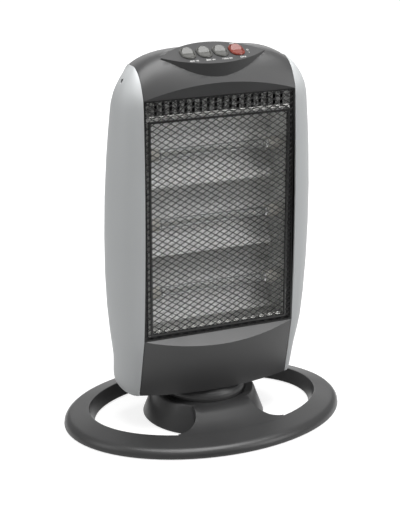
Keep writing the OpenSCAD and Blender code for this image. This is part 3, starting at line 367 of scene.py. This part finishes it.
def paint_glints_and_low_shade(material, grain, dark, painted_shade_share):
    """Painted glints in small cells of random tone, and painted shade that darkens the tone below.
    """
    nodes, links = material.node_tree.nodes, material.node_tree.links
    place = nodes["Texture Coordinate"]
    # painted glints: each small cell gets its own tone between the darkest share and full
    painted_glints = nodes.new("ShaderNodeTexVoronoi")
    painted_glints.inputs["Scale"].default_value = grain
    links.new(place.outputs["Object"], painted_glints.inputs["Vector"])
    apart = nodes.new("ShaderNodeSeparateColor")
    links.new(painted_glints.outputs["Color"], apart.inputs["Color"])
    share = nodes.new("ShaderNodeMapRange")
    share.inputs["To Min"].default_value = dark
    share.inputs["To Max"].default_value = 1.0
    links.new(apart.outputs["Red"], share.inputs["Value"])
    axes = nodes.new("ShaderNodeSeparateXYZ")
    links.new(place.outputs["Object"], axes.inputs["Vector"])
    # painted shade: the tone drops from full above to a lower share at the bottom of the sheet
    painted_low_shade = nodes.new("ShaderNodeMapRange")
    painted_low_shade.inputs["From Min"].default_value = 0.24
    painted_low_shade.inputs["From Max"].default_value = 0.36
    painted_low_shade.inputs["To Min"].default_value = painted_shade_share
    painted_low_shade.inputs["To Max"].default_value = 1.0
    links.new(axes.outputs["Z"], painted_low_shade.inputs["Value"])
    level = nodes.new("ShaderNodeMath")
    level.operation = "MULTIPLY"
    links.new(share.outputs["Result"], level.inputs[0])
    links.new(painted_low_shade.outputs["Result"], level.inputs[1])
    toned = nodes.new("ShaderNodeVectorMath")
    toned.operation = "SCALE"
    links.new(nodes["Mix"].outputs["Result"], toned.inputs[0])
    links.new(level.outputs[0], toned.inputs["Scale"])
    links.new(toned.outputs["Vector"], nodes["Principled BSDF"].inputs["Base Color"])


polished = grained_finish(
    "polished_aluminium", (1.0, 1.0, 0.965), 0.36, 900.0, 0.0024, metallic=1.0, tone=0.12
)
# painted glints speckle the reflector, and painted shade darkens its lower part
paint_glints_and_low_shade(polished, grain=560.0, dark=0.60, painted_shade_share=0.86)
slotted = grained_finish(
    "slotted_aluminium", (0.80, 0.80, 0.78), 0.35, 500.0, 0.0008, metallic=1.0, tone=0.2
)
# painted glints on the slotted plate: its cells range from nearly black to full tone
paint_glints_and_low_shade(slotted, grain=620.0, dark=0.10, painted_shade_share=1.0)
skin_of("inner_frame", "grille_frame", "head", black_matt)
skin_of("vent_plate", "slotted_plate", "head", slotted)
skin_of("reflector", "pressed_reflector", "head", polished)
finish_nodes(polished, "reflector_ends")

# ---- Hems of the reflector
# The reflector's top and bottom lips are turned over into thin rolled hems that
# stiffen the sheet and catch the light in front of the frame.

hem_half_length = 0.0845
hem_taper = 0.0006
hem_tip = 0.55
hem_wave = 0.10
hem_sides = 12
hem_steps = 60
hem_waves = random.Random(7)
hem_finish = grained_finish(
    "bright_hem", (0.88, 0.88, 0.85), 0.25, 300.0, 0.0002, metallic=1.0, tone=0.10
)
for name, height, radius, front in (
    ("top_hem", 0.3748, 0.0007, -0.0449),
    ("top_hem_second", 0.3768, 0.0006, -0.0446),
    ("bottom_hem", 0.1290, 0.0007, -0.0449),
    ("bottom_hem_second", 0.1309, 0.0006, -0.0446),
):
    # places along the hem, each with its share of the full radius
    stations = [(-hem_half_length, hem_tip), (-hem_half_length + hem_taper, 1.0)]
    for i in range(1, hem_steps):
        along = (2 * hem_half_length - 2 * hem_taper) * i / hem_steps
        share = 1.0 + hem_wave * hem_waves.uniform(-1, 1)
        stations.append((-hem_half_length + hem_taper + along, share))
    stations += [(hem_half_length - hem_taper, 1.0), (hem_half_length, hem_tip)]
    verts, faces = [], []
    for across, share in stations:
        for i in range(hem_sides):
            turn = 2 * math.pi * i / hem_sides
            out, up = radius * share * math.cos(turn), radius * share * math.sin(turn)
            verts.append((across, front + out, height + up))
    for j in range(len(stations) - 1):
        for i in range(hem_sides):
            a, b = j * hem_sides + i, j * hem_sides + (i + 1) % hem_sides
            faces.append((a, b, b + hem_sides, a + hem_sides))
    faces.append(tuple(reversed(range(hem_sides))))
    faces.append(tuple(range(len(verts) - hem_sides, len(verts))))
    data = bpy.data.meshes.new(name)
    data.from_pydata(verts, [], faces)
    hem = bpy.data.objects.new(name, data)
    bpy.context.scene.collection.objects.link(hem)
    pick(hem)
    bpy.ops.object.mode_set(mode="EDIT")
    bpy.ops.mesh.select_all(action="SELECT")
    bpy.ops.mesh.normals_make_consistent(inside=False)
    bpy.ops.object.mode_set(mode="OBJECT")
    bpy.ops.object.shade_smooth_by_angle(angle=math.radians(40.0))
    hem.data.materials.append(hem_finish)
    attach(hem, "head")

# ---- Lamps: quartz tubes with a coil, ceramic caps and their clips
# Each lamp is a clear quartz tube with a coiled tungsten wire, held by ceramic
# caps in sprung clips. A thermal cut-out sits behind the top trough.

quartz = bpy.data.materials.new("clear_quartz")
quartz.use_nodes = True
nodes, links = quartz.node_tree.nodes, quartz.node_tree.links
shader = nodes["Principled BSDF"]
shader.inputs["Base Color"].default_value = (0.97, 0.98, 0.98, 1.0)
shader.inputs["Transmission Weight"].default_value = 1.0
shader.inputs["IOR"].default_value = 1.46
place = nodes.new("ShaderNodeTexCoord")
haze = nodes.new("ShaderNodeTexNoise")
haze.inputs["Scale"].default_value = 60.0
links.new(place.outputs["Object"], haze.inputs["Vector"])
haze_level = nodes.new("ShaderNodeMapRange")
haze_level.inputs["To Min"].default_value = 0.02
haze_level.inputs["To Max"].default_value = 0.09
links.new(haze.outputs["Fac"], haze_level.inputs["Value"])
links.new(haze_level.outputs["Result"], shader.inputs["Roughness"])
finish_nodes(quartz, "lamp_tube_1", "lamp_tube_2", "lamp_tube_3")

lamp_y = -0.027
lamp_heights = (0.170, 0.250, 0.330)
coil_half_length = 0.060
coil_radius = 0.0021
coil_pitch = 0.0016
tungsten_radius = 0.00038
points_a_turn = 10
tungsten = grained_finish("tungsten", (0.72, 0.71, 0.69), 0.3, 900.0, 0.00001, metallic=1.0)
coil_data = bpy.data.curves.new("lamp_coils", "CURVE")
coil_data.dimensions = "3D"
coil_data.bevel_depth = tungsten_radius
coil_data.bevel_resolution = 0
coil_steps = int(2 * coil_half_length / coil_pitch) * points_a_turn
for height in lamp_heights:
    wire = coil_data.splines.new("POLY")
    wire.points.add(coil_steps)
    for i in range(coil_steps + 1):
        turn = 2 * math.pi * i / points_a_turn
        wire.points[i].co = (
            -coil_half_length + coil_pitch * i / points_a_turn,
            lamp_y + coil_radius * math.cos(turn),
            height + coil_radius * math.sin(turn),
            1.0,
        )
coils = bpy.data.objects.new("lamp_coils", coil_data)
bpy.context.scene.collection.objects.link(coils)
pick(coils)
bpy.ops.object.convert(target="MESH")
bpy.ops.object.shade_smooth()
coils = bpy.context.object
coils.data.materials.append(tungsten)
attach(coils, "head")
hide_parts("lamp_filaments")

steatite = grained_finish("white_steatite", (0.70, 0.68, 0.63), 0.7, 1500.0, 0.00004, tone=0.04)
dulled = grained_finish(
    "heat_dulled_steel", (0.045, 0.043, 0.042), 0.6, 500.0, 0.00002, metallic=0.6, tone=0.2
)
finish_nodes(steatite, "lamp_caps")
finish_nodes(zinc, "lamp_brackets", "thermal_cutout")
finish_nodes(dulled, "heat_shield")

# ---- Wire guard
# Black-coated steel wires cross in diamonds and are welded to a flat rim that
# lies on the frame. A heavier wire rectangle braces them round the reflector.

guard_wire = grained_finish("black_coated_wire", (0.012, 0.012, 0.012), 0.42, 1200.0, 0.00002)
finish_nodes(guard_wire, "mesh_guard")

# ---- Switches: oval bezels with tipping rockers
# Glossy moulded plastic, three in light grey and one in red. Each bezel and its
# case are one moulding, and its rocker turns on two pins in the case's walls.

grey_gloss = grained_finish(
    "light_grey_switch", (0.085, 0.085, 0.079), 0.24, 2000.0, 0.00001, tone=0.03
)
red_gloss = grained_finish("red_switch", (0.19, 0.028, 0.015), 0.24, 2000.0, 0.00001, tone=0.03)
for k in (1, 2, 3, 4):
    case, rocker = "switch_case_%d" % k, "rocker_%d" % k
    gloss = red_gloss if k == 4 else grey_gloss
    skin_of(case, "bezel_%d" % k, "head", gloss, edge=0.0003, angle=24.0)
    skin_of(rocker, "tipping_rocker_%d" % k, rocker, gloss, edge=0.0003, angle=20.0)

# ---- Marks printed on the plateau
# White ink in front of each switch gives its setting in plain figures; the red
# switch has ON and OFF at its ends and two short marks beside it.

switch_row_y = -0.024
switch_pitch = 0.0192
middle_of_row = 2.5
ink_thickness = 0.00003
ink_lift = 0.00005
ink = grained_finish("white_ink", (0.82, 0.82, 0.80), 0.5, 3000.0, 0.000005, tone=0.02)
on_plateau_place = (
    Matrix.Translation((0.0, switch_row_y, plateau_z(switch_row_y)))
    @ Matrix.Rotation(math.atan(plateau_slope), 4, "X")
)
# each mark: its switch, how far it stands beside and behind the switch's middle, and its size
for name, words, switch, beside, behind, size in (
    ("figures_1", "400 W", 1, 0.0022, -0.0152, 0.0038),
    ("figures_2", "800 W", 2, 0.0022, -0.0152, 0.0038),
    ("figures_3", "1200 W", 3, 0.0022, -0.0152, 0.0038),
    ("figures_on", "ON", 4, 0.0022, -0.0143, 0.0042),
    ("figures_off", "OFF", 4, 0.0005, 0.0145, 0.0032),
    ("stroke_on", "I", 4, 0.0128, -0.0064, 0.0035),
    ("stroke_off", "O", 4, 0.0128, -0.0010, 0.0035),
):
    bpy.ops.object.select_all(action="DESELECT")
    bpy.ops.object.text_add(location=(0.0, 0.0, 0.0))
    mark = bpy.context.object
    mark.data.body = words
    mark.data.size = size
    mark.data.align_x = "CENTER"
    mark.data.align_y = "CENTER"
    mark.data.extrude = ink_thickness
    bpy.ops.object.convert(target="MESH")
    mark = bpy.context.object
    mark.name = name
    mark.data.name = name
    across = switch_pitch * (switch - middle_of_row) + beside
    mark.data.transform(on_plateau_place @ Matrix.Translation((across, behind, ink_lift)))
    mark.data.materials.clear()
    mark.data.materials.append(ink)
    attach(mark, "head")
